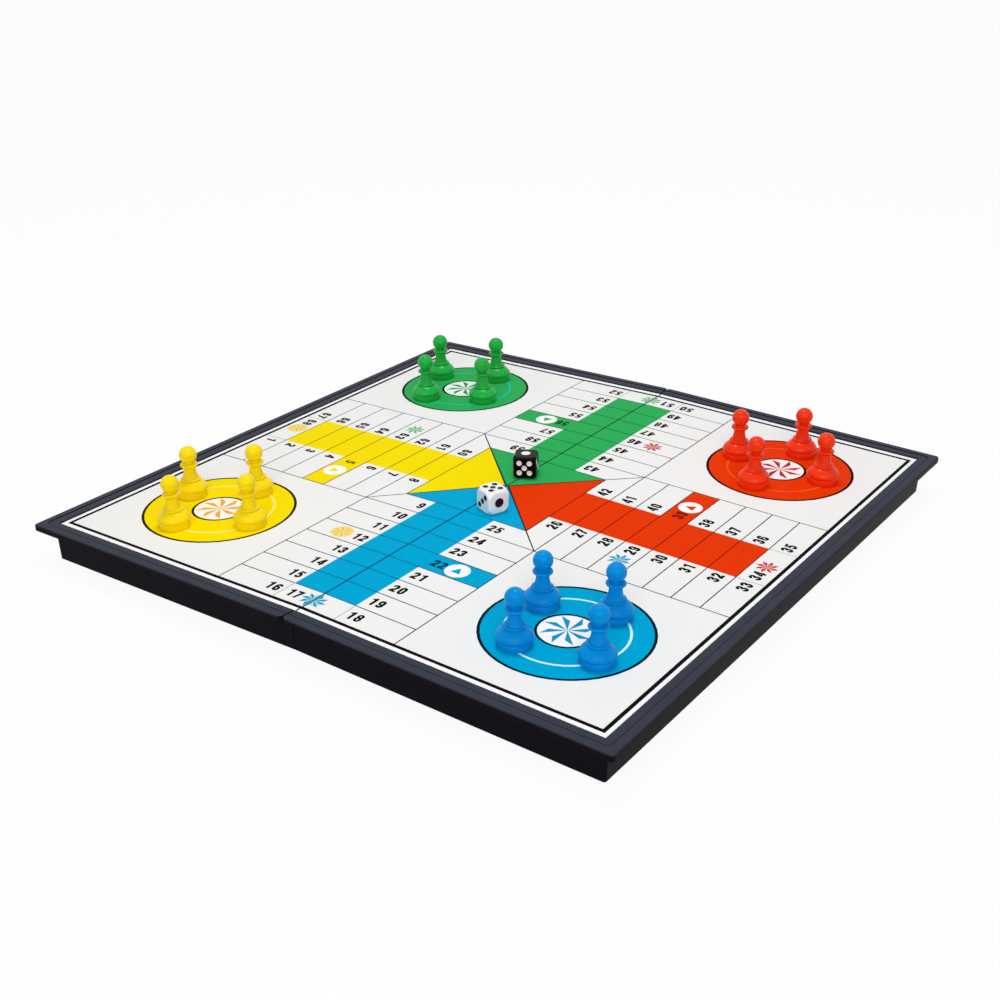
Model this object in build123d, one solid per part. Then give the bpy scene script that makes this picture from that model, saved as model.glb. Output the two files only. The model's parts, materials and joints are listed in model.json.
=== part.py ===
"""Folding board case for a parchis / ludo set, opened out for play, with its pawns and dice.

Two shallow trays stand open side down and are hinged along their spine walls. A steel plate
and a printed sheet lie in the top of each tray. The hinge barrels stick out below the rims,
so the open case rests on the barrels and on its two far rims, a little like a low roof.

Each half is drawn in its own frame and then put in place: x runs away from the hinge pins,
y along them, and z = 0 is the height of the pins. Sizes are in millimetres.
"""

from build123d import *
import os
from math import asin, atan2, degrees, hypot

# ---- driving sizes: case -------------------------------------------------------------------
CASE_LENGTH = 360.0          # along the hinge, over the flange
HALF_WIDTH = 180.0           # from the hinge pins to the far side of the flange
PLAY_HEIGHT = 20.2           # from the hinge pins up to the printed surface
RIM_PROUD = 1.2              # how far the flange stands above the printed surface
RIM_WIDTH = 9.7              # from the outside of the flange to the printed sheet
FLANGE_HEIGHT = 3.4          # visible height of the flange's outer face
FLANGE_SKIN = 1.8            # thickness of the flange over its hollow underside
FLANGE_CORNER = 1.8
FLANGE_EDGE = 0.9            # rounding of the flange's top edge
FLANGE_END_CUT = 1.7         # small corner cut where a flange ends at the fold
OVERHANG = 7.8               # from the wall's foot out to the flange's outer face
LIP = 1.6                    # thickness of the flange's downturned lip
WALL = 2.0
WALL_CORNER = 1.3            # outside, at the foot
CAVITY_CORNER = 2.0          # inside, at the foot
DRAFT = 1.5                  # degrees, the walls widen towards the flange
FLOOR = 1.8                  # tray floor under the steel plate
STEP_WIDTH = 4.7             # inner strip of the rim, beside the sheet
STEP_DROP = 0.3              # the inner strip lies this much lower than the outer one
STEP_CORNER = 2.6            # rounding of the inner strip's corners
GROOVE_WIDTH = 0.7
GROOVE_DEPTH = 0.5
GROOVE_CORNER = 3.3
SHEET_EDGE_EASE = 0.4        # bevel on the rim's edge beside the sheet

# ---- driving sizes: playing surface --------------------------------------------------------
PLATE_THICKNESS = 0.5
SHEET_THICKNESS = 0.3
PANEL_CLEARANCE = 0.15       # between the recess and the plate and sheet

# ---- driving sizes: hinge ------------------------------------------------------------------
KNUCKLE_RADIUS = 2.9
KNUCKLE_LENGTH = 8.0
KNUCKLE_GAP = 0.3            # between neighbouring knuckles
KNUCKLE_CLEARANCE = 0.3      # between a knuckle and the other half's wall
KNUCKLES = 5                 # in one group: the left half has the odd ones
HINGE_INSET = 62.0           # from each end of the flange to the middle of a group
LUG_HEIGHT = 6.0             # how far a knuckle's root runs up its wall
PIN_RADIUS = 1.2
PIN_TIGHT_CLEARANCE = 0.01   # in the left half, which holds the pins
PIN_RUNNING_CLEARANCE = 0.05 # in the right half, which turns on them
PIN_INSET = 1.0              # each end of a pin lies this far inside its group
SPINE_CLEARANCE = 0.1        # from the hinge plane to each spine wall
RIM_CLEARANCE = 0.1          # from the hinge pins up to each rim's foot

# ---- driving sizes: closing magnets --------------------------------------------------------
MAGNET_LENGTH = 20.0
MAGNET_WIDTH = 5.0
MAGNET_HEIGHT = 3.0
MAGNET_OFFSET = 92.0         # from the middle of the case
MAGNET_CLEARANCE = 0.05
MAGNET_INSET = 0.1           # below the rim's foot, so that the rims close first
BOSS_WALL = 1.2
BOSS_ROOF = 1.5

# ---- driving sizes: pawns ------------------------------------------------------------------
PAWN_FOOT_RADIUS = 8.3
PAWN_FOOT_HEIGHT = 2.9
PAWN_FOOT_EASE = 0.4         # rounding of the foot ring's edges
PAWN_GROOVE_RADIUS = 7.8     # between the foot ring and the belly
PAWN_GROOVE_WIDTH = 0.4
PAWN_BELLY_RADIUS = 8.8
PAWN_BELLY_HEIGHT = 4.5
PAWN_SHOULDER_RADIUS = 6.9
PAWN_SHOULDER_HEIGHT = 8.0
PAWN_BEAD_RADIUS = 5.5
PAWN_BEAD_HEIGHT = 10.0
PAWN_BEAD_EASE = 0.6         # half the bead's width
PAWN_NECK_FOOT_RADIUS = 4.4  # where the neck leaves the bead
PAWN_NECK_FLARE = 0.38       # how much the neck leans in there, per mm up
PAWN_NECK_RADIUS = 3.2       # where it is thinnest
PAWN_NECK_DROP = 1.9         # from the collar's middle down to there
PAWN_COLLAR_RADIUS = 4.9
PAWN_COLLAR_DROP = 5.75      # from the head's centre down to the collar's middle
PAWN_COLLAR_EASE = 0.8       # half the collar's width
PAWN_NAPE_RADIUS = 2.6       # between the collar and the head
PAWN_HEAD_RADIUS = 4.85
PAWN_HEAD_HEIGHT = 24.15     # centre of the head
PAWN_MAGNET_RADIUS = 5.0
PAWN_MAGNET_HEIGHT = 3.0
PAWN_MAGNET_CLEARANCE = 0.05
PAWN_MAGNET_INSET = 0.1      # the magnet stays off the sheet

# ---- driving sizes: dice -------------------------------------------------------------------
DIE_SIDE = 13.0
DIE_EDGE = 1.3               # rounding of the edges
WHITE_DIE_BALL = 9.2         # radius of the ball that rounds off the corners
BLACK_DIE_BALL = 9.7
PIP_DEPTH = 0.4
PIP_RADIUS = 1.5
ONE_PIP_RADIUS = 2.55
PIP_SPREAD = 2.87            # from a face's middle to its outer pips, each way
DIE_CLEARANCE = 0.05         # under the black die, which lies across the fold

# ---- where the pieces stand ----------------------------------------------------------------
HOME_INSET = 60.1            # centre of each colour's home circle, from the sheet's outer edges
PRINT_SHIFT = 0.8            # each sheet's drawing starts this far from the hinge plane
# x and y of each pawn from the centre of its own home circle
PAWN_SPOTS = {
    "blue": [(-21.5, 13.0), (12.0, 23.5), (-12.0, -23.0), (26.0, -13.5)],
    "red": [(-27.0, 2.5), (-2.0, -27.5), (1.5, 26.5), (27.0, 0.0)],
    "green": [(-29.5, 11.0), (5.5, 26.0), (-12.5, -26.0), (21.0, -10.5)],
    "yellow": [(-27.5, 5.0), (1.0, 27.0), (-6.0, -27.5), (27.0, -4.5)],
}
# side of the fold (left -1, right 1) and side of the middle (front -1, back 1)
HOMES = {"blue": (1, -1), "red": (1, 1), "green": (-1, 1), "yellow": (-1, -1)}
# middle of each die from the fold and the middle of the case, and how far it is turned
WHITE_DIE_SPOT = (10.7, -28.6, 67.9)
BLACK_DIE_SPOT = (0.5, 18.3, 26.4)

# ---- sizes that follow ---------------------------------------------------------------------
REACH = CASE_LENGTH / 2                          # flange, along the hinge
WALL_FAR = HALF_WIDTH - OVERHANG                 # foot of the far wall
WALL_REACH = REACH - OVERHANG                    # feet of the end walls
RIM_TOP = PLAY_HEIGHT + RIM_PROUD
FLANGE_FOOT = RIM_TOP - FLANGE_HEIGHT
SHEET_FOOT = PLAY_HEIGHT - SHEET_THICKNESS
PLATE_FOOT = SHEET_FOOT - PLATE_THICKNESS
FLOOR_FOOT = PLATE_FOOT - FLOOR
RIM_FOOT = RIM_CLEARANCE
HINGE_OFFSET = REACH - HINGE_INSET               # from the middle of the case
GROUP_PITCH = KNUCKLE_LENGTH + KNUCKLE_GAP
GROUP_LENGTH = KNUCKLES * GROUP_PITCH - KNUCKLE_GAP
BOSS_DEPTH = MAGNET_WIDTH + 2 * MAGNET_CLEARANCE + BOSS_WALL   # from the wall inwards
BOSS_LENGTH = MAGNET_LENGTH + 2 * (MAGNET_CLEARANCE + BOSS_WALL)
MAGNET_FOOT = RIM_FOOT + MAGNET_INSET
MAGNET_POCKET_TOP = MAGNET_FOOT + MAGNET_HEIGHT + MAGNET_CLEARANCE
BOSS_TOP = MAGNET_POCKET_TOP + BOSS_ROOF
PAWN_COLLAR_HEIGHT = PAWN_HEAD_HEIGHT - PAWN_COLLAR_DROP
PAWN_NECK_HEIGHT = PAWN_COLLAR_HEIGHT - PAWN_NECK_DROP
HOME_X = HALF_WIDTH - RIM_WIDTH - HOME_INSET + PRINT_SHIFT
HOME_Y = REACH - RIM_WIDTH - HOME_INSET
# the tilt at which barrels and far rims stand on one level
REST_TILT = degrees(asin(KNUCKLE_RADIUS / hypot(WALL_FAR, RIM_FOOT)) + atan2(RIM_FOOT, WALL_FAR))

LEFT, RIGHT = -1, 1
FRONT, BACK = -1, 1
OPPOSITE_PIPS = 7            # what two opposite faces of a die add up to
PAST = 1.0                   # how far a cutting body runs past what it cuts


def place(shape, side):
    """Stand a piece of one half, drawn in that half's frame, on the table."""
    return Pos(0, 0, KNUCKLE_RADIUS) * Rot(0, side * REST_TILT, 0) * shape


def block(x0, x1, y0, y1, z0, z1):
    """A box between two corners."""
    return Pos((x0 + x1) / 2, (y0 + y1) / 2, (z0 + z1) / 2) * Box(x1 - x0, y1 - y0, z1 - z0)


def outer_side(shape):
    """What lies beyond the spine wall's face."""
    return shape & block(SPINE_CLEARANCE, HALF_WIDTH + PAST, -REACH - PAST, REACH + PAST,
                         -PAST, RIM_TOP + PAST)


def slab(far, reach, radius, foot, top, taper=0.0):
    """An upright slab over both halves, with rounded corners and sides that lean by the taper."""
    return extrude(Pos(0, 0, foot) * RectangleRounded(2 * far, 2 * reach, radius),
                   top - foot, taper=taper)


def frame_ring(outside, width, radius, foot, top):
    """A ring of one width round both halves, whose outer side lies inside the flange's."""
    outer = slab(HALF_WIDTH - outside, REACH - outside, radius, foot, top)
    hole = slab(HALF_WIDTH - outside - width, REACH - outside - width,
                max(radius - width, PANEL_CLEARANCE), foot - PAST, top + PAST)
    return outer - hole


def flange():
    """The rim round the playing surface: two strips with a groove between them, hollow below."""
    body = slab(HALF_WIDTH, REACH, FLANGE_CORNER, FLANGE_FOOT, RIM_TOP)
    body = fillet(body.edges().group_by(Axis.Z)[-1], FLANGE_EDGE)
    body -= slab(HALF_WIDTH - LIP, REACH - LIP, FLANGE_CORNER - LIP,
                 FLANGE_FOOT - PAST, RIM_TOP - FLANGE_SKIN)
    strip = RIM_WIDTH - STEP_WIDTH
    body -= frame_ring(strip - GROOVE_WIDTH, GROOVE_WIDTH, GROOVE_CORNER,
                       RIM_TOP - GROOVE_DEPTH, RIM_TOP + PAST)
    body -= slab(HALF_WIDTH - strip, REACH - strip, STEP_CORNER,
                 RIM_TOP - STEP_DROP, RIM_TOP + PAST)
    return body


def end_cuts():
    """The corner cuts of the flange at the fold, at both ends of the case."""
    return [Pos(SPINE_CLEARANCE, end * REACH, (FLANGE_FOOT + RIM_TOP) / 2)
            * Rot(0, 0, 45)
            * Box(FLANGE_END_CUT * 2 ** 0.5, FLANGE_END_CUT * 2 ** 0.5, FLANGE_HEIGHT + 2 * PAST)
            for end in (FRONT, BACK)]


def panel_recess():
    """The pocket for the plate and the sheet, open at the fold, with a bevelled edge."""
    far = HALF_WIDTH - RIM_WIDTH + PANEL_CLEARANCE
    reach = REACH - RIM_WIDTH + PANEL_CLEARANCE
    pocket = Pos(0, 0, (PLATE_FOOT + RIM_TOP + PAST) / 2) * Box(
        2 * far, 2 * reach, RIM_TOP + PAST - PLATE_FOOT)
    strip_top = RIM_TOP - STEP_DROP
    bevel = extrude(Pos(0, 0, strip_top) * Rectangle(2 * (far + SHEET_EDGE_EASE),
                                                     2 * (reach + SHEET_EDGE_EASE)),
                    -SHEET_EDGE_EASE, taper=45)
    return pocket + bevel


def magnet_seats(grow, foot, top):
    """The closing magnets' places along the far wall, each side made larger by grow."""
    inner = WALL_FAR - WALL - MAGNET_CLEARANCE - MAGNET_WIDTH
    half = MAGNET_LENGTH / 2 + grow
    return [block(inner - grow, inner + MAGNET_WIDTH + grow,
                  end * MAGNET_OFFSET - half, end * MAGNET_OFFSET + half, foot, top)
            for end in (FRONT, BACK)]


def magnet_bosses():
    """The blocks that hold the closing magnets, grown out of the far wall."""
    return [block(WALL_FAR - WALL - BOSS_DEPTH, WALL_FAR - WALL / 2,
                  end * MAGNET_OFFSET - BOSS_LENGTH / 2, end * MAGNET_OFFSET + BOSS_LENGTH / 2,
                  RIM_FOOT, BOSS_TOP)
            for end in (FRONT, BACK)]


def knuckle_centres(side):
    """Places along the hinge of one half's knuckles, in both groups."""
    first = 0 if side == LEFT else 1
    return [end * HINGE_OFFSET + (i - (KNUCKLES - 1) / 2) * GROUP_PITCH
            for end in (FRONT, BACK) for i in range(first, KNUCKLES, 2)]


def barrel(radius, length, y):
    """A cylinder on the hinge line."""
    return Pos(0, y, 0) * Rot(90, 0, 0) * Cylinder(radius, length)


def knuckle(y):
    """A hinge barrel with the root that joins it to its spine wall."""
    root = block(SPINE_CLEARANCE, KNUCKLE_RADIUS, y - KNUCKLE_LENGTH / 2, y + KNUCKLE_LENGTH / 2,
                 0, LUG_HEIGHT)
    upper_edge = root.edges().filter_by(Axis.Y).sort_by(lambda e: e.center().X + e.center().Z)[-1]
    root = chamfer(upper_edge, KNUCKLE_RADIUS - SPINE_CLEARANCE - WALL / 2)
    return root + barrel(KNUCKLE_RADIUS, KNUCKLE_LENGTH, y)


def casing(side):
    """One tray with its flange, hinge knuckles and magnet bosses, drawn on the right."""
    body = slab(WALL_FAR, WALL_REACH, WALL_CORNER, RIM_FOOT, RIM_TOP - FLANGE_SKIN / 2, -DRAFT)
    cavity = slab(WALL_FAR - WALL, WALL_REACH - WALL, CAVITY_CORNER,
                  RIM_FOOT, FLOOR_FOOT, DRAFT)
    cavity = cavity & block(SPINE_CLEARANCE + WALL, HALF_WIDTH, -REACH, REACH, -PAST, RIM_TOP)
    body = outer_side(flange() + body - panel_recess()) - cavity
    for cut in end_cuts():
        body -= cut
    for boss in magnet_bosses():
        body += boss
    for pocket in magnet_seats(MAGNET_CLEARANCE, RIM_FOOT - PAST, MAGNET_POCKET_TOP):
        body -= pocket
    for y in knuckle_centres(-side):
        body -= barrel(KNUCKLE_RADIUS + KNUCKLE_CLEARANCE, KNUCKLE_LENGTH + 2 * KNUCKLE_GAP, y)
    for y in knuckle_centres(side):
        body += knuckle(y)
    fit = PIN_TIGHT_CLEARANCE if side == LEFT else PIN_RUNNING_CLEARANCE
    for end in (FRONT, BACK):
        body -= barrel(PIN_RADIUS + fit, GROUP_LENGTH + 2 * PAST, end * HINGE_OFFSET)
    return body


def panel(foot, top):
    """A flat sheet that fills one half's recess."""
    return block(SPINE_CLEARANCE, HALF_WIDTH - RIM_WIDTH, -(REACH - RIM_WIDTH), REACH - RIM_WIDTH,
                 foot, top)


def on_side(shape, side):
    """A piece drawn on the right, put on its own side of the hinge and stood on the table."""
    return place(shape if side == RIGHT else mirror(shape, about=Plane.YZ), side)


def ridge(radius, height, ease):
    """Three points of a rounded ridge on the pawn: below it, on it and above it."""
    return [(radius - ease, height - ease), (radius, height), (radius - ease, height + ease)]


def pawn():
    """A turned pawn standing at the origin, with a socket for its magnet."""
    groove = (PAWN_GROOVE_RADIUS, PAWN_FOOT_HEIGHT + PAWN_GROOVE_WIDTH / 2)
    belly = (PAWN_BELLY_RADIUS, PAWN_BELLY_HEIGHT)
    shoulder = (PAWN_SHOULDER_RADIUS, PAWN_SHOULDER_HEIGHT)
    bead = ridge(PAWN_BEAD_RADIUS, PAWN_BEAD_HEIGHT, PAWN_BEAD_EASE)
    neck_foot = (PAWN_NECK_FOOT_RADIUS, bead[-1][1])
    neck = (PAWN_NECK_RADIUS, PAWN_NECK_HEIGHT)
    collar = ridge(PAWN_COLLAR_RADIUS, PAWN_COLLAR_HEIGHT, PAWN_COLLAR_EASE)
    collar_top = collar[-1][1]
    head_foot = PAWN_HEAD_HEIGHT - (PAWN_HEAD_RADIUS ** 2 - PAWN_NAPE_RADIUS ** 2) ** 0.5
    head_top = (0, PAWN_HEAD_HEIGHT + PAWN_HEAD_RADIUS)
    with BuildPart() as body:
        with BuildSketch(Plane.XZ):
            with BuildLine():
                Polyline((0, 0), (PAWN_FOOT_RADIUS - PAWN_FOOT_EASE, 0),
                         (PAWN_FOOT_RADIUS, PAWN_FOOT_EASE),
                         (PAWN_FOOT_RADIUS, PAWN_FOOT_HEIGHT - PAWN_FOOT_EASE),
                         groove, (PAWN_GROOVE_RADIUS, groove[1] + PAWN_GROOVE_WIDTH / 2))
                Spline((PAWN_GROOVE_RADIUS, groove[1] + PAWN_GROOVE_WIDTH / 2),
                       belly, shoulder, bead[0])
                ThreePointArc(*bead)
                Line(bead[-1], neck_foot)
                Spline(neck_foot, neck, tangents=((-PAWN_NECK_FLARE, 1), (0, 1)))
                Line(neck, collar[0])
                ThreePointArc(*collar)
                Polyline(collar[-1], (PAWN_NAPE_RADIUS, collar_top), (PAWN_NAPE_RADIUS, head_foot))
                ThreePointArc((PAWN_NAPE_RADIUS, head_foot), (PAWN_HEAD_RADIUS, PAWN_HEAD_HEIGHT),
                              head_top)
                Line(head_top, (0, 0))
            make_face()
        revolve(axis=Axis.Z)
    depth = PAWN_MAGNET_INSET + PAWN_MAGNET_HEIGHT + PAWN_MAGNET_CLEARANCE
    socket = Pos(0, 0, (depth - PAST) / 2) * Cylinder(
        PAWN_MAGNET_RADIUS + PAWN_MAGNET_CLEARANCE, depth + PAST)
    return body.part - socket


def pawn_magnet():
    """The disc magnet in a pawn's foot."""
    return Pos(0, 0, PAWN_MAGNET_INSET + PAWN_MAGNET_HEIGHT / 2) * Cylinder(
        PAWN_MAGNET_RADIUS, PAWN_MAGNET_HEIGHT)


def pips(count, lean):
    """Places of the pips on a face, from its middle; two and three run along one diagonal."""
    s = PIP_SPREAD
    spots = [(0, 0)] if count % 2 else []
    if count > 1:
        spots += [(-s, -s * lean), (s, s * lean)]
    if count > 3:
        spots += [(-s, s * lean), (s, -s * lean)]
    if count == 6:
        spots += [(-s, 0), (s, 0)]
    return spots


def pip_cutters(count, lean, turn):
    """Shallow dimples for one face of a die, turned to that face."""
    radius = ONE_PIP_RADIUS if count == 1 else PIP_RADIUS
    ball = (radius ** 2 + PIP_DEPTH ** 2) / (2 * PIP_DEPTH)
    return [turn * Pos(x, y, DIE_SIDE / 2 + ball - PIP_DEPTH) * Sphere(ball)
            for x, y in pips(count, lean)]


def die(ball, top, front, side_face, lean):
    """A die at the origin, given the pips of its upper, its -Y and its +X face."""
    body = fillet(Box(DIE_SIDE, DIE_SIDE, DIE_SIDE).edges(), DIE_EDGE) & Sphere(ball)
    faces = [(top, Rot(0, 0, 0)), (OPPOSITE_PIPS - top, Rot(180, 0, 0)),
             (front, Rot(90, 0, 0)), (OPPOSITE_PIPS - front, Rot(-90, 0, 0)),
             (side_face, Rot(0, 90, 0)), (OPPOSITE_PIPS - side_face, Rot(0, -90, 0))]
    for count, turn in faces:
        for cutter in pip_cutters(count, lean, turn):
            body -= cutter
    return body


def lay_die(shape, spot, side, clearance):
    """A die turned and laid at its spot, level with one half's surface."""
    x, y, turn = spot
    return place(Pos(x, y, PLAY_HEIGHT + clearance + DIE_SIDE / 2) * Rot(0, 0, turn) * shape, side)


def hinge_pin(end):
    """A steel pin through one group of knuckles."""
    return place(barrel(PIN_RADIUS, GROUP_LENGTH - 2 * PIN_INSET, end * HINGE_OFFSET), LEFT)


def save(shape, name):
    """Write one piece under its name."""
    solids = shape.solids()
    piece = solids[0] if len(solids) == 1 else Compound(children=solids)
    piece.label = name
    export_step(piece, f"parts/{name}.step")


def main():
    os.makedirs("parts", exist_ok=True)
    for side, word in ((LEFT, "left"), (RIGHT, "right")):
        save(on_side(casing(side), side), f"{word}_casing")
        save(on_side(panel(PLATE_FOOT, SHEET_FOOT), side), f"{word}_steel_plate")
        save(on_side(panel(SHEET_FOOT, PLAY_HEIGHT), side), f"{word}_printed_sheet")
        magnets = magnet_seats(0, MAGNET_FOOT, MAGNET_FOOT + MAGNET_HEIGHT)
        save(on_side(Compound(children=magnets), side), f"{word}_closing_magnets")
    save(hinge_pin(FRONT), "hinge_pin_front")
    save(hinge_pin(BACK), "hinge_pin_back")

    one_pawn, one_magnet = pawn(), pawn_magnet()
    for colour, (side, end) in HOMES.items():
        for number, (dx, dy) in enumerate(PAWN_SPOTS[colour], 1):
            spot = Pos(side * HOME_X + dx, end * HOME_Y + dy, PLAY_HEIGHT)
            save(place(spot * one_pawn, side), f"{colour}_pawn_{number}")
            save(place(spot * one_magnet, side), f"{colour}_pawn_{number}_magnet")

    white, black = die(WHITE_DIE_BALL, 5, 1, 4, -1), die(BLACK_DIE_BALL, 1, 5, 3, 1)
    save(lay_die(white, WHITE_DIE_SPOT, RIGHT, 0), "white_die")
    save(lay_die(black, BLACK_DIE_SPOT, LEFT, DIE_CLEARANCE), "black_die")


main()
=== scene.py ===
"""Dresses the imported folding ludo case: printed board, pip paint, finishes, light and camera.

Lengths are in metres unless a name ends in _MM. The drawing on the board is made in
millimetres round the middle of the open board and is then laid on each half's sheet.
"""
import json
from math import acos, copysign, cos, pi, radians, sin

import bmesh
import bpy
from mathutils import Matrix, Vector
from mathutils.geometry import delaunay_2d_cdt


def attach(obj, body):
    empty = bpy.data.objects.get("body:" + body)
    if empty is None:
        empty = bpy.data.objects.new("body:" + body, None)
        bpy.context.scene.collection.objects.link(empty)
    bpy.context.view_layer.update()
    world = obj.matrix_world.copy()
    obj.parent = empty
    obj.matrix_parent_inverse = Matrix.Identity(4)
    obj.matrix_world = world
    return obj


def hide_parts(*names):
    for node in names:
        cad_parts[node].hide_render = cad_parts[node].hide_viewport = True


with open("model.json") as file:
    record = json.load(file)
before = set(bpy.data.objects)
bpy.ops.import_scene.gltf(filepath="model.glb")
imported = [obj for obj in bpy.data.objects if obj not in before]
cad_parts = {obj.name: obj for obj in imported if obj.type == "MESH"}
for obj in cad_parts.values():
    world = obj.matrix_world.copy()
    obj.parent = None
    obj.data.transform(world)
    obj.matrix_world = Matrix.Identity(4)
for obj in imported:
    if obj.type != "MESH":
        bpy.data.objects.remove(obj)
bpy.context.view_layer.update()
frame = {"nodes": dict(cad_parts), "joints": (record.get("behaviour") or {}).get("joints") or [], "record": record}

MM = 0.001
COLOURS = ("blue", "red", "green", "yellow")      # of the arms, each a quarter turn on
LEFT, RIGHT = -1, 1
SIDE_WORD = {LEFT: "left", RIGHT: "right"}


# ---- the two halves, from the frame --------------------------------------------------------
def joint(name):
    return next(j for j in frame["joints"] if j["name"] == name)


def half_frame(colour):
    """The frame of the half that carries a colour's pawns: origin on the hinge, z its normal."""
    z = Vector(joint(f"{colour}_pawn_1_lift")["axis"]).normalized()
    y = Vector((0, 1, 0))
    turn = Matrix((y.cross(z), y, z)).transposed().to_4x4()
    return Matrix.Translation(Vector(joint("fold")["pos_m"])) @ turn


HALF = {LEFT: half_frame("yellow"), RIGHT: half_frame("blue")}


def box_in(matrix, node):
    """Lowest and highest corner of a CAD node in a frame of its own."""
    back = matrix.inverted()
    points = [back @ v.co for v in frame["nodes"][node].data.vertices]
    return [Vector([pick(p[i] for p in points) for i in range(3)]) for pick in (min, max)]


# ---- materials -----------------------------------------------------------------------------
def linear(code):
    """The linear colour of a hex code such as 'EA4012'."""
    parts = [int(code[i:i + 2], 16) / 255 for i in (0, 2, 4)]
    return [c / 12.92 if c <= 0.04045 else ((c + 0.055) / 1.055) ** 2.4 for c in parts] + [1.0]


def finish(name, code, rough, rough_spread=0.03, mottle=0.03, mottle_mm=8.0,
           grain_mm=0.5, grain_depth_mm=0.01, fixed=(), painted_top_light_code=None):
    """A plastic, metal or ink: mottled colour, uneven gloss and a fine grain of given sizes.

    Faces that look up take a second, lighter colour instead where it is given: painted light, the sheen and light
    that fall on upward faces.
    """
    material = bpy.data.materials.new(name)
    material.use_nodes = True
    nodes, links = material.node_tree.nodes, material.node_tree.links
    shader = nodes["Principled BSDF"]
    for socket, value in fixed:
        shader.inputs[socket].default_value = value
    place = nodes.new("ShaderNodeTexCoord")

    def noise(size_mm, detail):
        node = nodes.new("ShaderNodeTexNoise")
        node.inputs["Scale"].default_value = 1 / (size_mm * MM)
        node.inputs["Detail"].default_value = detail
        links.new(place.outputs["Object"], node.inputs["Vector"])
        return node.outputs["Fac"]

    def blend(factor):
        node = nodes.new("ShaderNodeMix")
        node.data_type = "RGBA"
        links.new(factor, node.inputs["Factor"])
        return node

    clouds = noise(mottle_mm, 3)

    def mottled(colour):
        shades = blend(clouds)
        shades.inputs["A"].default_value = [c * (1 - mottle) for c in colour[:3]] + [1]
        shades.inputs["B"].default_value = [min(1, c * (1 + mottle)) for c in colour[:3]] + [1]
        return shades.outputs["Result"]

    colour = mottled(linear(code))
    # painted light: upward faces blend by their normal towards the lighter colour, standing in for the sheen on
    # the tops
    if painted_top_light_code:
        facing = nodes.new("ShaderNodeSeparateXYZ")
        links.new(place.outputs["Normal"], facing.inputs[0])
        both = blend(facing.outputs["Z"])
        links.new(colour, both.inputs["A"])
        links.new(mottled(linear(painted_top_light_code)), both.inputs["B"])
        colour = both.outputs["Result"]
    links.new(colour, shader.inputs["Base Color"])

    gloss = nodes.new("ShaderNodeMapRange")
    gloss.inputs["To Min"].default_value = rough - rough_spread
    gloss.inputs["To Max"].default_value = rough + rough_spread
    links.new(noise(mottle_mm / 3, 4), gloss.inputs["Value"])
    links.new(gloss.outputs["Result"], shader.inputs["Roughness"])

    bump = nodes.new("ShaderNodeBump")
    bump.inputs["Distance"].default_value = grain_depth_mm * MM
    bump.inputs["Strength"].default_value = 1
    links.new(noise(grain_mm, 2), bump.inputs["Height"])
    links.new(bump.outputs["Normal"], shader.inputs["Normal"])
    return material


def pawn_plastic(colour, code, glow, gloss=0.14):
    """Glossy moulded plastic that lets a little light in."""
    return finish(f"{colour}_plastic", code, rough=0.2, rough_spread=0.03, mottle=0.04,
                  mottle_mm=5, grain_mm=1.2, grain_depth_mm=0.004,
                  fixed=[("Subsurface Weight", 0.1), ("Subsurface Scale", 1.5 * MM),
                         ("Subsurface Radius", glow), ("Specular IOR Level", gloss)])


NODE_FINISH = {
    # the charcoal case: its lighter colour on upward faces is painted light, the sheen of the sky on the tops; the
    # sides keep the dark colour
    "case_plastic": finish("case_plastic", "131117", rough=0.30, rough_spread=0.05, mottle=0.15,
                           mottle_mm=20, grain_mm=0.45, grain_depth_mm=0.005,
                           painted_top_light_code="3A3E49", fixed=[("Specular IOR Level", 0.015)]),
    "tinplate": finish("tinplate", "B9BBC0", rough=0.35, mottle=0.06, grain_mm=0.8,
                       fixed=[("Metallic", 1.0)]),
    "ferrite": finish("ferrite", "34343A", rough=0.6, mottle=0.15, mottle_mm=2, grain_mm=0.3,
                      fixed=[("Metallic", 0.3)]),
    "pin_steel": finish("pin_steel", "C8CACE", rough=0.25, mottle=0.05, grain_mm=0.3,
                        fixed=[("Metallic", 1.0)]),
    "blue_plastic": pawn_plastic("blue", "008EDC", (0.3, 0.6, 1.0), gloss=0.06),
    "red_plastic": pawn_plastic("red", "F23406", (1.0, 0.4, 0.3)),
    "green_plastic": pawn_plastic("green", "1AAC42", (0.4, 1.0, 0.5)),
    "yellow_plastic": pawn_plastic("yellow", "FFDE00", (1.0, 0.8, 0.3)),
    "white_die": finish("white_die", "F4F4F6", rough=0.15, mottle=0.02, grain_mm=2,
                        grain_depth_mm=0.004,
                        fixed=[("Subsurface Weight", 0.4), ("Subsurface Scale", 2 * MM),
                               ("Specular IOR Level", 0.35)]),
    "black_die": finish("black_die", "08080A", rough=0.15, mottle=0.1, grain_mm=2,
                        grain_depth_mm=0.004, fixed=[("Specular IOR Level", 0.06)]),
}


def dress_nodes():
    """Each CAD node takes the finish of its slot in the record."""
    for part in frame["record"]["subparts"]:
        own = NODE_FINISH.get(part["material_slot"])
        if own:
            slots = frame["nodes"][part["node"]].data.materials
            slots.clear()
            slots.append(own)


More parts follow.
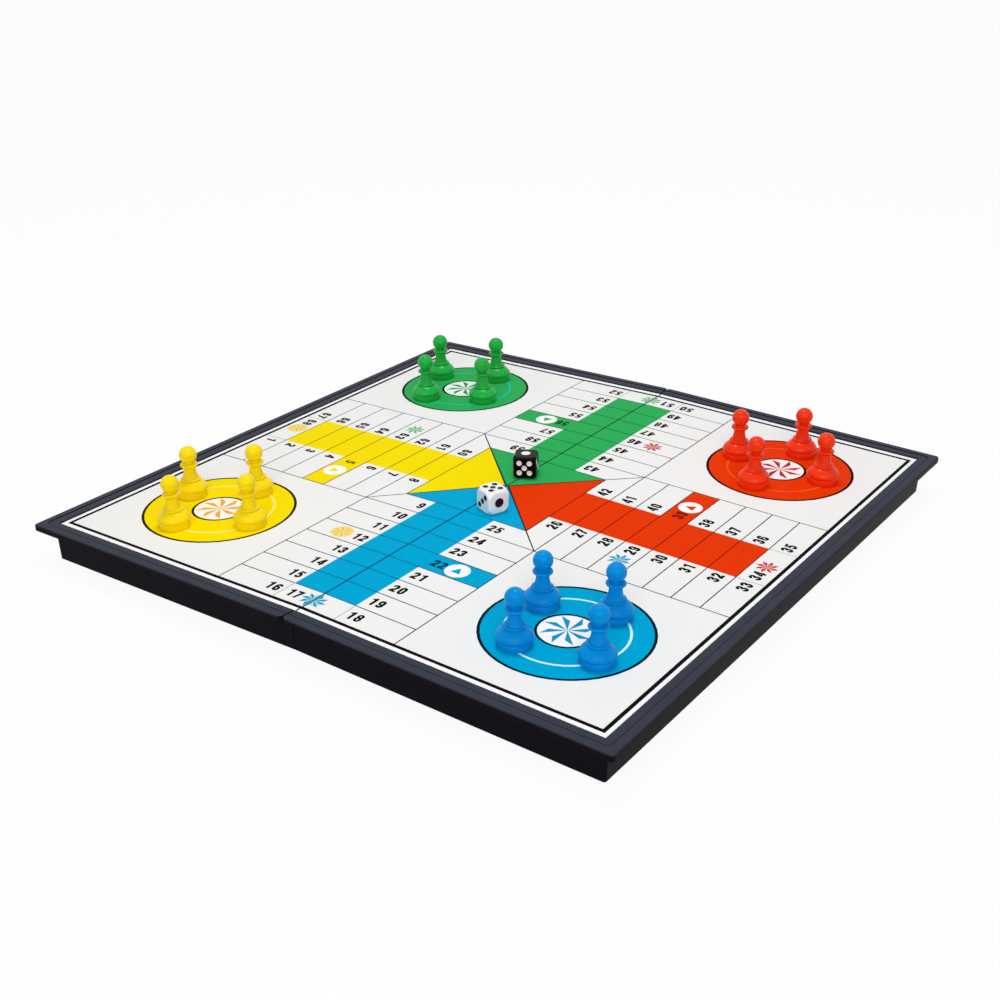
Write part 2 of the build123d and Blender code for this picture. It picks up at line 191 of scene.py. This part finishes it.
# ---- the drawing on the board, in millimetres ----------------------------------------------
BORDER_MM = 167.2            # from the middle to the outside of the black border line
BORDER_LINE_MM = 2.1
GRID_MM = 165.5              # from the middle to the end of the outermost cells
LANE_MM = 18.35              # half the width of a coloured lane
ARM_MM = 54.8                # half the width of an arm
ROWS = 8                     # rows of cells in an arm, the innermost at the hub
ROW_MM = (GRID_MM - ARM_MM) / (ROWS - 1)
HUB_MM = ARM_MM - ROW_MM     # half the side of the square of four triangles
LINE_MM = 0.64
FAINT_LINE_MM = 0.45
HOME_SPOTS_MM = {"blue": (110.9, -109.6), "red": (111.1, 110.2), "green": (-112.1, 111.2),
                 "yellow": (-111.8, -109.6)}
RING_OUTSIDES_MM = (41.5, 40.0, 30.1, 28.9, 15.1, 13.75)  # home circle, outline to white disc
HOME_STAR_MM = 13.3
END_STAR_MM = 6.3            # in the outer cell of a lane
SIDE_STAR_MM = 6.4           # in a side cell
STAR_GROUND_MM = 6.2         # the pale disc under a small yellow star
HOME_STAR_RISE_MM = 0.4      # it sits a little high in its disc
SIDE_STAR_SPOT_MM = 37.0     # from the middle of the arm
GATE_SPOT_MM = 36.3          # the white disc in the coloured side cell, likewise
GATE_MM = 6.6
GATE_ARROW_MM = (2.95, 3.2, 2.4)      # half width, reach of the tip, reach of the base
MARK_ROW = 4                 # row of the side star and of the coloured side cell, from the hub
PRINT_SHIFT_MM = 0.8         # each sheet's drawing starts this far from the fold
BLADE_STEP = 45              # degrees from one blade of a star to the next
BLADE_LEAN = 20              # degrees from a blade's tip back to its corner
BLADE_CORNER = 0.65          # how far out that corner is, as a share of the star's radius
BACK_LEAN = 17               # degrees from a blade's tip on to its pale back's corner
BACK_CORNER = 0.58           # how far out that corner is, likewise
ARC_STEP = radians(7.5)
MERGE_BELOW = 1e-7           # corners of the drawing this close become one

INKS = {
    "margin": "FFFFFF", "paper": "F3F3F2", "border": "141218", "line": "2A2828",
    "faint": "A3A19D", "digit": "120E10",
    "blue": "00A7D6", "red": "E93904", "green": "2EAF5A", "yellow": "FBE200",
    "blue_line": "07607C", "red_line": "84190E", "green_line": "0F5228", "yellow_line": "665C10",
    "blue_edge": "02202F", "red_edge": "2A0500", "green_edge": "04140A", "yellow_edge": "302202",
    "blue_digit": "0B3550", "red_digit": "7A0F0B", "green_digit": "0C4A22",
    "yellow_digit": "6E4E06",
    "blue_ring": "DCFFFF", "red_ring": "F05A30", "green_ring": "10C8C0", "yellow_ring": "FFF38A",
    "blue_disc": "FFFFFF", "red_disc": "FFFAFA", "green_disc": "EFFBF3", "yellow_disc": "FEFBF2",
    "blue_star": "149AC4", "red_star": "C02A33", "green_star": "3C9460", "yellow_star": "EAB03E",
    "blue_small": "148CB8", "red_small": "B81E2A", "green_small": "52A870",
    "yellow_small": "F1C04C", "yellow_ground": "FBE078",
    "blue_pale": "72CCE8", "red_pale": "F08F88", "green_pale": "A5DDB2", "yellow_pale": "FBE9A0",
}


def rectangle(x0, y0, x1, y1):
    return [(x0, y0), (x1, y0), (x1, y1), (x0, y1)]


def arc(x, y, rx, ry, start, end):
    """Points of an arc between two angles in degrees."""
    steps = max(2, round(abs(radians(end - start)) / ARC_STEP))
    angles = [radians(start + (end - start) * i / steps) for i in range(steps + 1)]
    return [(x + rx * cos(a), y + ry * sin(a)) for a in angles]


def disc(x, y, radius):
    return arc(x, y, radius, radius, 0, 360)[:-1]


def bar(x0, y0, x1, y1, width):
    return stroke([(x0, y0), (x1, y1)], width)


def stroke(path, width):
    """The outline of a line of one width drawn along a path."""
    path = [Vector(p) for p in path]
    runs = [(b - a).normalized() for a, b in zip(path, path[1:])]
    sides = []
    for i, point in enumerate(path):
        before, after = runs[max(i - 1, 0)], runs[min(i, len(runs) - 1)]
        across = Vector((-before.y - after.y, before.x + after.x))
        sides.append((point, across * (width / (1 + before.dot(after)) / 2)))
    return ([tuple(p + s) for p, s in sides] + [tuple(p - s) for p, s in reversed(sides)])


# numbers, one unit high: each digit is a few strokes, given with their widths
DIGIT_WIDTH, HEAVY, LIGHT = 0.555, 0.232, 0.185
EIGHT = 0.21                 # of the figure eight
LOW, HIGH, MID = HEAVY / 2, 1 - HEAVY / 2, DIGIT_WIDTH / 2
BOWL = (DIGIT_WIDTH - HEAVY) / 2
BOWL_RISE = 0.19
WAIST = 0.53                 # height at which the two bowls of a 3 or an 8 meet


def digit_strokes():
    """The strokes of each digit."""
    left, right = LOW, DIGIT_WIDTH - LOW
    top_y, foot_y = HIGH - BOWL_RISE, LOW + BOWL_RISE
    top = arc(MID, top_y, BOWL, BOWL_RISE, 180, 0)
    foot = arc(MID, foot_y, BOWL, BOWL_RISE, 180, 360)
    upper_rise, lower_rise = (HIGH - WAIST) / 2, (WAIST - LOW) / 2
    six = [([*arc(MID, top_y, BOWL, BOWL_RISE, 5, 180), *foot, (right, 0.40)], HEAVY),
           (arc(MID, 0.40, BOWL, 0.17, 0, 180), LIGHT)]
    return {
        "0": [([(left, 0.5), *top, (right, 0.5)], HEAVY),
              ([(left, 0.5), *foot, (right, 0.5)], HEAVY)],
        "1": [([(0.34, 0), (0.34, 1)], HEAVY), ([(0.05, 0.76), (0.25, 0.83), (0.36, 0.93)], LIGHT)],
        "2": [([*arc(MID, top_y, BOWL, BOWL_RISE, 190, 0), (right, 0.63), (0.37, 0.46),
                (0.17, 0.24), (left, 0.1)], HEAVY), ([(0, LOW), (DIGIT_WIDTH, LOW)], HEAVY)],
        "3": [(arc(MID, WAIST + upper_rise, BOWL, upper_rise, 190, -80), HEAVY),
              (arc(MID, WAIST - lower_rise, BOWL, lower_rise, 80, -190), HEAVY),
              ([(0.2, WAIST), (0.32, WAIST)], LIGHT)],
        "4": [([(0.4, 0), (0.4, 1)], HEAVY), ([(-0.01, 0.27), (DIGIT_WIDTH + 0.02, 0.27)], LIGHT),
              ([(0.36, 0.95), (0.07, 0.25)], LIGHT)],
        "5": [([(0.09, HIGH), (DIGIT_WIDTH - 0.03, HIGH)], LIGHT + 0.02),
              ([(0.16, 0.95), (0.13, 0.46)], LIGHT),
              (arc(0.26, 0.345, BOWL + 0.01, 0.24, 155, -165), HEAVY)],
        "6": six,
        "7": [([(0, HIGH), (DIGIT_WIDTH, HIGH)], HEAVY),
              ([(right + 0.01, HIGH), (0.32, 0.5), (0.22, 0)], HEAVY)],
        "8": [(arc(MID, centre, reach, rise, start, start + 180), EIGHT)
              for centre, reach, rise in ((WAIST + upper_rise, BOWL, upper_rise + 0.01),
                                          (WAIST - lower_rise, BOWL + 0.01, lower_rise + 0.01))
              for start in (0, 180)],
        "9": [([(DIGIT_WIDTH - x, 1 - y) for x, y in path], width) for path, width in six],
    }


DIGITS = digit_strokes()
NUMBER_HEIGHT_MM = 6.75
NUMBER_GAP = 0.12            # between two digits, as a share of the height
NUMBER_IN_MM = {"left": 2.1, "right": 2.4, "end": 3.3}    # from the edge of the lane
CELLS = 68                   # in the whole round
FIRST_NUMBER = 9             # beside the hub on the left of the blue arm
LAST_STEPS = 17              # how far the numbers go on from one arm to the next


class Drawing:
    """Outlines with their inks, each painted over those before it."""

    def __init__(self):
        self.layers = []
        self.turns = 0

    def paint(self, ink, outline):
        """Adds an outline, turned with the arm that is being drawn."""
        for _ in range(self.turns):
            outline = [(-y, x) for x, y in outline]
        self.layers.append((ink, outline))

    def number(self, value, x, y, align, ink):
        """A number with its left (0) or right (1) end at x, and y at the middle of its height."""
        digits = str(value)
        step = DIGIT_WIDTH + NUMBER_GAP
        start = x - align * (len(digits) * step - NUMBER_GAP) * NUMBER_HEIGHT_MM
        for i, digit in enumerate(digits):
            for path, width in DIGITS[digit]:
                self.paint(ink, [(start + (i * step + u) * NUMBER_HEIGHT_MM,
                                  y + (v - 0.5) * NUMBER_HEIGHT_MM)
                                 for u, v in stroke(path, width)])

    def star(self, x, y, radius, ink, pale_ink=None):
        """A pinwheel of eight blades, each with a pale back where one is given."""
        def at(share, angle):
            return (x + share * radius * cos(radians(angle)),
                    y + share * radius * sin(radians(angle)))

        for angle in range(90, 450, BLADE_STEP):
            if pale_ink:
                self.paint(pale_ink, [(x, y), at(1, angle), at(BACK_CORNER, angle + BACK_LEAN)])
            self.paint(ink, [(x, y), at(BLADE_CORNER, angle - BLADE_LEAN), at(1, angle)])

    def small_star(self, x, y, radius, colour):
        """A pinwheel in a cell; the yellow ones lie on a pale disc."""
        if colour == "yellow":
            self.paint("yellow_ground", disc(x, y, STAR_GROUND_MM))
        self.star(x, y, radius, f"{colour}_small", f"{colour}_pale")


def draw_home(drawing, x, y, colour):
    """A home circle: outline, field, thin ring and a white disc with a pinwheel."""
    edge = f"{colour}_edge"
    inks = (edge, colour, f"{colour}_ring", colour, edge, f"{colour}_disc")
    for radius, ink in zip(RING_OUTSIDES_MM, inks):
        drawing.paint(ink, disc(x, y, radius))
    drawing.star(x, y + HOME_STAR_RISE_MM, HOME_STAR_MM, f"{colour}_star")


def draw_arm(drawing, number, colour, colour_before):
    """One arm, drawn as the front one: its lane, cells, numbers, stars and gate."""
    drawing.paint(colour, [(0, 0), (-HUB_MM, -HUB_MM), (HUB_MM, -HUB_MM)])
    drawing.paint(colour, rectangle(-LANE_MM, -(GRID_MM - ROW_MM), LANE_MM, -HUB_MM))
    row_top = -(HUB_MM + (MARK_ROW - 1) * ROW_MM)
    drawing.paint(colour, rectangle(LANE_MM, row_top - ROW_MM, ARM_MM, row_top))
    for row in range(ROWS):
        y = -(HUB_MM + row * ROW_MM)
        reach = HUB_MM if row == 0 else ARM_MM
        drawing.paint("line", bar(-reach, y, -LANE_MM, y, LINE_MM))
        drawing.paint("line", bar(LANE_MM, y, reach, y, LINE_MM))
        drawing.paint(f"{colour}_line", bar(-LANE_MM, y, LANE_MM, y, LINE_MM))
    for x in (-ARM_MM, ARM_MM):
        drawing.paint("line", bar(x, -ARM_MM, x, -GRID_MM, LINE_MM))
    for x in (-LANE_MM, LANE_MM):
        drawing.paint("faint", bar(x, -GRID_MM + ROW_MM, x, -GRID_MM, FAINT_LINE_MM))
    for row in range(ROWS):
        y = -(HUB_MM + (row + 0.5) * ROW_MM)
        ink = f"{colour}_digit" if row == MARK_ROW - 1 else "digit"
        going_out = (FIRST_NUMBER + LAST_STEPS * number + row - 1) % CELLS + 1
        coming_in = (FIRST_NUMBER + LAST_STEPS * number + 2 * ROWS - row - 1) % CELLS + 1
        drawing.number(going_out, -LANE_MM - NUMBER_IN_MM["left"], y, 1, "digit")
        drawing.number(coming_in, LANE_MM + NUMBER_IN_MM["right"], y, 0, ink)
    end_y = -(GRID_MM - ROW_MM / 2)
    middle = (FIRST_NUMBER + LAST_STEPS * number + ROWS - 1) % CELLS + 1
    drawing.number(middle, -LANE_MM + NUMBER_IN_MM["end"], end_y, 0, "digit")
    drawing.small_star(0, end_y, END_STAR_MM, colour)
    mark_y = row_top - ROW_MM / 2
    drawing.small_star(-SIDE_STAR_SPOT_MM, mark_y, SIDE_STAR_MM, colour_before)
    drawing.paint("margin", disc(GATE_SPOT_MM, mark_y, GATE_MM))
    half, tip, base = GATE_ARROW_MM
    drawing.paint(colour, [(GATE_SPOT_MM - half, mark_y - base),
                           (GATE_SPOT_MM + half, mark_y - base), (GATE_SPOT_MM, mark_y + tip)])


def draw_board():
    """The whole board as one drawing."""
    drawing = Drawing()
    inside = BORDER_MM - BORDER_LINE_MM
    drawing.paint("border", rectangle(-BORDER_MM, -BORDER_MM, BORDER_MM, BORDER_MM))
    drawing.paint("paper", rectangle(-inside, -inside, inside, inside))
    for number, colour in enumerate(COLOURS):
        drawing.turns = number
        draw_arm(drawing, number, colour, COLOURS[number - 1])
    drawing.turns = 0
    for colour, (x, y) in HOME_SPOTS_MM.items():
        draw_home(drawing, x, y, colour)
        drawing.paint("line", bar(0, 0, copysign(ARM_MM, x), copysign(ARM_MM, y), LINE_MM))
    return drawing


def on_one_side(outline, side):
    """The part of an outline on one side of the fold, turning anticlockwise."""
    kept = []
    for (x0, y0), (x1, y1) in zip(outline, outline[1:] + outline[:1]):
        if x0 * side >= 0:
            kept.append((x0, y0))
        if x0 * side * x1 * side < 0:
            kept.append((0.0, y0 + (y1 - y0) * x0 / (x0 - x1)))
    area = sum(x0 * y1 - x1 * y0 for (x0, y0), (x1, y1) in zip(kept, kept[1:] + kept[:1]))
    return kept if area > 0 else kept[::-1]


def board_sheet(drawing, side, inks):
    """A printed sheet: its top is cut up into the drawing's fields, each in its own ink."""
    node = f"{SIDE_WORD[side]}_printed_sheet"
    low, high = box_in(HALF[side], node)
    fold_x = min(low.x, high.x, key=abs)
    outlines = [("margin", rectangle(low.x, low.y, high.x, high.y))]
    for ink, outline in drawing.layers:
        kept = on_one_side(outline, side)
        if len(kept) > 2:
            outlines.append((ink, [(fold_x if x == 0 else (x + side * PRINT_SHIFT_MM) * MM, y * MM)
                                   for x, y in kept]))
    points, faces = [], []
    for _, outline in outlines:
        faces.append(list(range(len(points), len(points) + len(outline))))
        points += [Vector(p) for p in outline]
    flat, _, fields, _, _, sources = delaunay_2d_cdt(points, [], faces, 1, MERGE_BELOW)
    mesh = bpy.data.meshes.new(f"{SIDE_WORD[side]}_board_print")
    model = bmesh.new()
    corners = [model.verts.new((p.x, p.y, high.z)) for p in flat]
    slot_of = {}
    for field, source in zip(fields, sources):
        ink = outlines[max(source)][0]
        if ink not in slot_of:
            slot_of[ink] = len(slot_of)
            mesh.materials.append(inks[ink])
        face = model.faces.new([corners[i] for i in field])
        face.material_index = slot_of[ink]
        if face.normal.z < 0:
            face.normal_flip()
    tops = set(model.faces)
    rim = [e for e in model.edges if e.is_boundary]
    skirt = bmesh.ops.extrude_edge_only(model, edges=rim)["geom"]
    lowered = [g for g in skirt if isinstance(g, bmesh.types.BMVert)]
    bmesh.ops.translate(model, verts=lowered, vec=(0, 0, low.z - high.z))
    bmesh.ops.edgeloop_fill(model, edges=[e for e in model.edges if e.is_boundary])
    # At the fold the edge takes the ink above it, and under white paper the near-black border ink: painted shade
    # for the dark gap between the halves. Elsewhere the edge takes the margin ink.
    white = (slot_of["margin"], slot_of["paper"])
    for face in set(model.faces) - tops:
        above = [f.material_index for e in face.edges for f in e.link_faces if f in tops]
        if abs(face.calc_center_median().x - fold_x) > PRINT_SHIFT_MM * MM / 4:
            face.material_index = slot_of["margin"]
        else:
            face.material_index = slot_of["border"] if above[0] in white else above[0]
    bmesh.ops.recalc_face_normals(model, faces=model.faces)
    model.to_mesh(mesh)
    model.free()
    mesh.transform(HALF[side])
    sheet = bpy.data.objects.new(mesh.name, mesh)
    bpy.context.scene.collection.objects.link(sheet)
    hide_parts(node)
    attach(sheet, f"{SIDE_WORD[side]}_half")


def lay_board():
    """Both printed sheets, under one thin film of clear varnish."""
    inks = {name: finish(f"ink_{name}", code, rough=0.22, rough_spread=0.04, mottle=0.012,
                         mottle_mm=15, grain_mm=2.5, grain_depth_mm=0.004,
                         fixed=[("Specular IOR Level", 0.004)])
            for name, code in INKS.items()}
    drawing = draw_board()
    for side in (LEFT, RIGHT):
        board_sheet(drawing, side, inks)


# ---- the paint in the dimples of the dice --------------------------------------------------
PIP_MM, ONE_PIP_MM = 1.5, 2.55       # radii of the dimples
DIMPLE_MM = 0.4                      # their depth
PIP_SPREAD_MM = 2.87                 # from a face's middle to its outer pips, each way
PAINT_MM = 0.05                      # how far the paint fills the dimples, and sinks into them
DIMPLE_SIDES, DIMPLE_STEPS = 36, 6   # faces round a dimple, and from its middle out
OPPOSITE_PIPS = 7
DICE = {                   # half, turn on it, pips of the top, -Y and +X face, lean, paint
    "white_die": (RIGHT, 67.9, (5, 1, 4), -1, "black_die"),
    "black_die": (LEFT, 26.4, (1, 5, 3), 1, "white_die"),
}


def pip_places(count, lean):
    """Places of the pips on a face, from its middle; two and three run along one diagonal."""
    s = PIP_SPREAD_MM
    places = [(0, 0)] if count % 2 else []
    if count > 1:
        places += [(-s, -s * lean), (s, s * lean)]
    if count > 3:
        places += [(-s, s * lean), (s, -s * lean)]
    if count == 6:
        places += [(-s, 0), (s, 0)]
    return places


def paint_dimple(model, turn, x, y, top, radius):
    """A shallow dish of paint that lines one dimple."""
    ball = (radius ** 2 + DIMPLE_MM ** 2) / (2 * DIMPLE_MM)
    rings = []
    outward = range(1, DIMPLE_STEPS + 1)
    for lining, steps in ((ball - PAINT_MM, outward), (ball + PAINT_MM, reversed(outward))):
        widest = acos((ball - DIMPLE_MM) / lining)
        for step in steps:
            swing = widest * step / DIMPLE_STEPS
            ring_z = top + ball - DIMPLE_MM - lining * cos(swing)
            ring = [(x + lining * sin(swing) * cos(a), y + lining * sin(swing) * sin(a), ring_z)
                    for a in (2 * pi * i / DIMPLE_SIDES for i in range(DIMPLE_SIDES))]
            rings.append([model.verts.new(turn @ (Vector(p) * MM)) for p in ring])
    for before, after in zip(rings, rings[1:]):
        for i in range(DIMPLE_SIDES):
            model.faces.new([before[i], before[i - 1], after[i - 1], after[i]])
    model.faces.new(rings[0])
    model.faces.new(rings[-1][::-1])


def paint_pips():
    """The pips of each die, one piece to a die."""
    paints = {"white_die": finish("pip_white", "F4F2F2", rough=0.3, grain_mm=0.6),
              "black_die": finish("pip_black", "0B0C12", rough=0.3, grain_mm=0.6,
                                  fixed=[("Specular IOR Level", 0.2)])}
    for die, (side, turn, (top, front, side_face), lean, paint) in DICE.items():
        level = HALF[side] @ Matrix.Rotation(radians(turn), 4, "Z")
        low, high = box_in(level, die)
        middle = level @ Matrix.Translation((low + high) / 2)
        reach = (high.z - low.z) / 2 / MM
        faces = [(top, "X", 0), (OPPOSITE_PIPS - top, "X", 180), (front, "X", 90),
                 (OPPOSITE_PIPS - front, "X", -90), (side_face, "Y", 90),
                 (OPPOSITE_PIPS - side_face, "Y", -90)]
        model = bmesh.new()
        for count, axis, angle in faces:
            for x, y in pip_places(count, lean):
                paint_dimple(model, middle @ Matrix.Rotation(radians(angle), 4, axis), x, y, reach,
                             ONE_PIP_MM if count == 1 else PIP_MM)
        bmesh.ops.recalc_face_normals(model, faces=model.faces)
        mesh = bpy.data.meshes.new(f"{die}_pips")
        model.to_mesh(mesh)
        model.free()
        mesh.shade_smooth()
        mesh.materials.append(paints[paint])
        pips = bpy.data.objects.new(mesh.name, mesh)
        bpy.context.scene.collection.objects.link(pips)
        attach(pips, die)


# ---- camera, light and floor ---------------------------------------------------------------
EYE = Vector((0.4155, -0.5777, 0.3521))            # where the lens is
SIGHT = Vector((-0.53157, 0.73040, -0.42889))      # the way it looks
LEVEL = Vector((0.81074, 0.58535, -0.00798))       # the picture's right-hand direction
FOCAL_LENGTH, SENSOR_WIDTH = 50.82, 36             # in millimetres


def level_turn(back):
    """The turn of something that faces away from back, its width along the picture."""
    right = (LEVEL - back * LEVEL.dot(back)).normalized()
    return Matrix((right, back.cross(right), back)).transposed().to_4x4()


def camera():
    data = bpy.data.cameras.new("photo_camera")
    data.lens, data.sensor_width = FOCAL_LENGTH, SENSOR_WIDTH
    data.clip_start, data.clip_end = 0.01, 50
    cam = bpy.data.objects.new("photo_camera", data)
    cam.matrix_world = Matrix.Translation(EYE) @ level_turn(-SIGHT.normalized())
    bpy.context.scene.collection.objects.link(cam)
    bpy.context.scene.camera = cam


def softbox(name, place, width, height, power):
    """A lamp aimed at the middle of the board, its width along the picture."""
    data = bpy.data.lights.new(name, "AREA")
    data.shape, data.size, data.size_y, data.energy = "RECTANGLE", width, height, power
    lamp = bpy.data.objects.new(name, data)
    lamp.matrix_world = Matrix.Translation(place) @ level_turn(Vector(place).normalized())
    bpy.context.scene.collection.objects.link(lamp)


FLOOR_REACH = 6.0            # from the middle of the board
FLOOR_WHITE = 0.94           # share of the floor that shows as plain white
SKY_LIGHT = 0.42             # how brightly the sky lights the case


def backdrop_share(nodes, links, share):
    """A share for what the camera, reflections and clear stuff see, and 0 for light on things."""
    path = nodes.new("ShaderNodeLightPath")
    total = path.outputs["Is Camera Ray"]
    for name in ("Is Glossy Ray", "Is Transmission Ray"):
        add = nodes.new("ShaderNodeMath")
        add.operation = "MAXIMUM"
        links.new(total, add.inputs[0])
        links.new(path.outputs[name], add.inputs[1])
        total = add.outputs[0]
    scale = nodes.new("ShaderNodeMath")
    scale.operation = "MULTIPLY"
    scale.inputs[1].default_value = share
    links.new(total, scale.inputs[0])
    return scale.outputs[0]


def floor():
    """A pale floor that shows as white and still takes the case's soft shadow."""
    mesh = bpy.data.meshes.new("floor")
    corners = rectangle(-FLOOR_REACH, -FLOOR_REACH, FLOOR_REACH, FLOOR_REACH)
    mesh.from_pydata([(x, y, 0) for x, y in corners], [], [(0, 1, 2, 3)])
    obj = bpy.data.objects.new("floor", mesh)
    bpy.context.scene.collection.objects.link(obj)
    material = bpy.data.materials.new("floor")
    material.use_nodes = True
    nodes, links = material.node_tree.nodes, material.node_tree.links
    shader, out = nodes["Principled BSDF"], nodes["Material Output"]
    shader.inputs["Base Color"].default_value = (0.9, 0.9, 0.9, 1)
    shader.inputs["Roughness"].default_value = 0.9
    glow = nodes.new("ShaderNodeEmission")
    blend = nodes.new("ShaderNodeMixShader")
    links.new(backdrop_share(nodes, links, FLOOR_WHITE), blend.inputs[0])
    links.new(shader.outputs[0], blend.inputs[1])
    links.new(glow.outputs[0], blend.inputs[2])
    links.new(blend.outputs[0], out.inputs["Surface"])
    mesh.materials.append(material)


def sky():
    """White all round to look at, and a plain grey light on the case."""
    world = bpy.data.worlds.new("studio")
    bpy.context.scene.world = world
    world.use_nodes = True
    nodes, links = world.node_tree.nodes, world.node_tree.links
    background = nodes["Background"]
    level = nodes.new("ShaderNodeMapRange")
    level.inputs["To Min"].default_value = SKY_LIGHT
    level.inputs["To Max"].default_value = 1.0
    links.new(backdrop_share(nodes, links, 1), level.inputs["Value"])
    links.new(level.outputs["Result"], background.inputs["Strength"])
    background.inputs["Color"].default_value = (1, 1, 1, 1)


dress_nodes()
lay_board()
paint_pips()
camera()
floor()
sky()
softbox("top_softbox", (-0.08, 0.11, 1.20), 0.45, 0.1, 5.6)
softbox("front_softbox", (0.95, -1.40, 1.06), 1.6, 1.2, 15.5)
bpy.context.scene.view_settings.view_transform = "Standard"
